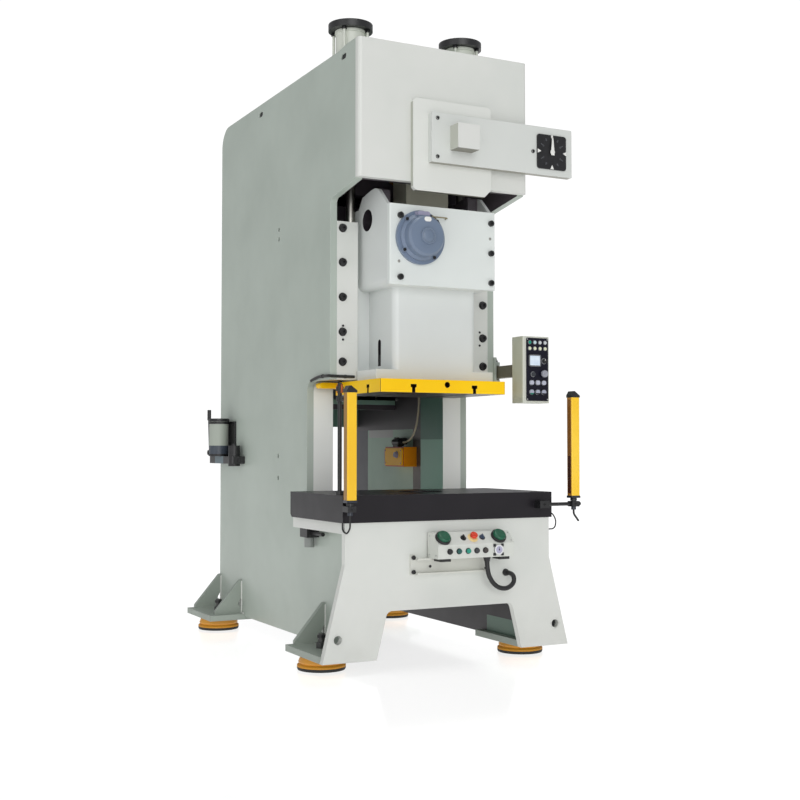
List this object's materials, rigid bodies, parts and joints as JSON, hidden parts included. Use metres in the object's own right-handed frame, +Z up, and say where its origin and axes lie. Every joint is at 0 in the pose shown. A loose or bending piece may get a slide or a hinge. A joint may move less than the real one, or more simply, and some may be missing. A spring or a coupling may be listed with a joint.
{
  "type": "mechanical stamping press",
  "caption": "Upright gap-frame crank press with a guided slide, bolster, balance cylinders, rear flywheel drive, light curtains, two-hand control and swinging pendant.",
  "frame": {"origin": "centre of the bolster's top face, on the slide's load axis", "axes": "+X to the operator's right, +Y from the operator to the back, +Z up along the slide's travel"},
  "size_m": [1.236, 2.1281, 2.827],
  "materials": {
    "frame_paint": "satin grey-green",
    "front_paint": "satin off-white",
    "slide_paint": "satin light grey",
    "cylinder_paint": "satin beige grey",
    "motor_paint": "hammered blue grey",
    "yellow_paint": "gloss yellow",
    "bolster_steel": "oiled dark",
    "dark_metal": "blackened",
    "forged_steel": "machined forging",
    "cast_iron": "cast",
    "bronze": "machined",
    "rubber": "matte",
    "black_plastic": "matte",
    "box_paint": "satin olive grey",
    "button_green": "gloss",
    "button_red": "gloss",
    "button_white": "gloss"
  },
  "bodies": {
    "frame": {"side_plate_right": "frame_paint", "side_plate_left": "frame_paint", "crown_front_plate": "front_paint", "cross_walls": "frame_paint", "rear_plate": "frame_paint", "throat_columns": "front_paint", "bed_plate": "front_paint", "base_front_plate": "front_paint", "foot_brackets": "frame_paint", "levelling_pads": "rubber", "pad_caps": "yellow_paint", "bolster": "bolster_steel", "guide_rails": "cast_iron", "gib_strips": "front_paint", "gib_bolts": "dark_metal", "shaft_bushes": "bronze", "balance_cylinders": "cylinder_paint", "motor": "motor_paint", "flywheel_belts": "rubber", "rear_guard": "yellow_paint", "indicator_base": "front_paint", "indicator_arm": "front_paint", "dial_face": "black_plastic", "light_curtains": "yellow_paint", "curtain_brackets": "dark_metal", "control_box": "front_paint", "control_bracket": "front_paint", "control_hose": "rubber", "frame_cables": "rubber", "grease_pump": "dark_metal", "throat_valve_box": "yellow_paint", "air_regulator": "black_plastic", "pendant_bracket": "frame_paint"},
    "slide": {"slide": "slide_paint", "slide_cover": "slide_paint", "slide_plate": "yellow_paint", "overload_piston": "forged_steel", "adjusting_motor": "motor_paint", "balance_rods": "forged_steel"},
    "knockout_bar": {"knockout_bar": "forged_steel"},
    "crank": {"crankshaft": "forged_steel", "main_gear": "forged_steel"},
    "rod": {"connecting_rod": "cylinder_paint", "adjusting_screw": "forged_steel"},
    "pinion": {"pinion_shaft": "forged_steel", "clutch_brake": "cast_iron"},
    "flywheel": {"flywheel": "cast_iron"},
    "motor_rotor": {"motor_pulley": "cast_iron"},
    "needle": {"dial_needle": "button_white"},
    "palm_button_left": {"palm_button_left": "button_green"},
    "palm_button_right": {"palm_button_right": "button_green"},
    "emergency_stop": {"emergency_stop": "button_red"},
    "selector_left": {"selector_left": "black_plastic"},
    "selector_right": {"selector_right": "black_plastic"},
    "pump_lever": {"pump_lever": "dark_metal"},
    "pendant": {"pendant_arm": "box_paint", "pendant_box": "box_paint", "pendant_panel": "black_plastic"},
    "pendant_knob": {"pendant_knob": "black_plastic"},
    "pendant_stop": {"pendant_stop": "button_white"}
  },
  "joints": [
    {"name": "slide_stroke", "type": "slide", "parent": "frame", "child": "slide", "axis": [0, 0, 1], "range_m": [-0.16, 0]},
    {"name": "crank_turn", "type": "hinge", "parent": "frame", "child": "crank", "pos_m": [0, 0, 1.487], "axis": [0, 1, 0], "range_deg": [0, 180]},
    {"name": "rod_swing", "type": "hinge", "parent": "crank", "child": "rod", "pos_m": [0, 0, 1.567], "axis": [0, 1, 0], "range_deg": [-180, 0]},
    {"name": "pinion_turn", "type": "hinge", "parent": "frame", "child": "pinion", "pos_m": [0, 1.3, 1.112], "axis": [0, 1, 0], "range_deg": [-720, 0]},
    {"name": "flywheel_spin", "type": "hinge", "parent": "frame", "child": "flywheel", "pos_m": [0, 1.587, 1.112], "axis": [0, 1, 0], "continuous": true},
    {"name": "motor_spin", "type": "hinge", "parent": "frame", "child": "motor_rotor", "pos_m": [0, 1.587, 0.604], "axis": [0, 1, 0], "continuous": true},
    {"name": "needle_turn", "type": "hinge", "parent": "frame", "child": "needle", "pos_m": [0.511, -0.29, 1.514], "axis": [0, 1, 0], "range_deg": [0, 180]},
    {"name": "knockout_lift", "type": "slide", "parent": "slide", "child": "knockout_bar", "axis": [0, 0, 1], "range_m": [0, 0.055]},
    {"name": "palm_left_push", "type": "slide", "parent": "frame", "child": "palm_button_left", "axis": [0, -0.7071, 0.7071], "range_m": [-0.0055, 0], "stiffness_N_per_m": 2500},
    {"name": "palm_right_push", "type": "slide", "parent": "frame", "child": "palm_button_right", "axis": [0, -0.7071, 0.7071], "range_m": [-0.0055, 0], "stiffness_N_per_m": 2500},
    {"name": "emergency_push", "type": "slide", "parent": "frame", "child": "emergency_stop", "axis": [0, -0.7071, 0.7071], "range_m": [-0.006, 0], "stiffness_N_per_m": 2500},
    {"name": "selector_left_turn", "type": "hinge", "parent": "frame", "child": "selector_left", "pos_m": [0.014, -0.349, -0.184], "axis": [0, -0.7071, 0.7071], "range_deg": [-45, 45]},
    {"name": "selector_right_turn", "type": "hinge", "parent": "frame", "child": "selector_right", "pos_m": [0.106, -0.349, -0.184], "axis": [0, -0.7071, 0.7071], "range_deg": [-45, 45]},
    {"name": "pump_lever_swing", "type": "hinge", "parent": "frame", "child": "pump_lever", "pos_m": [-0.4765, 1.457, 0.168], "axis": [1, 0, 0], "range_deg": [-60, 0]},
    {"name": "pendant_swing", "type": "hinge", "parent": "frame", "child": "pendant", "pos_m": [0.452, 0.1, 0.545], "axis": [0, 0, 1], "range_deg": [0, 90]},
    {"name": "pendant_knob_turn", "type": "hinge", "parent": "pendant", "child": "pendant_knob", "pos_m": [0.488, -0.253, 0.58], "axis": [0, -1, 0], "range_deg": [-60, 60]},
    {"name": "pendant_stop_push", "type": "slide", "parent": "pendant", "child": "pendant_stop", "axis": [0, -1, 0], "range_m": [-0.006, 0], "stiffness_N_per_m": 2500}
  ],
  "couplings": [
    {"joint": "crank_turn", "follows": "slide_stroke", "rad_per_m": -19.635},
    {"joint": "rod_swing", "follows": "slide_stroke", "rad_per_m": 19.635},
    {"joint": "pinion_turn", "follows": "slide_stroke", "rad_per_m": 78.54},
    {"joint": "needle_turn", "follows": "slide_stroke", "rad_per_m": -19.635},
    {"joint": "motor_spin", "follows": "flywheel_spin", "ratio": 3.9024}
  ]
}
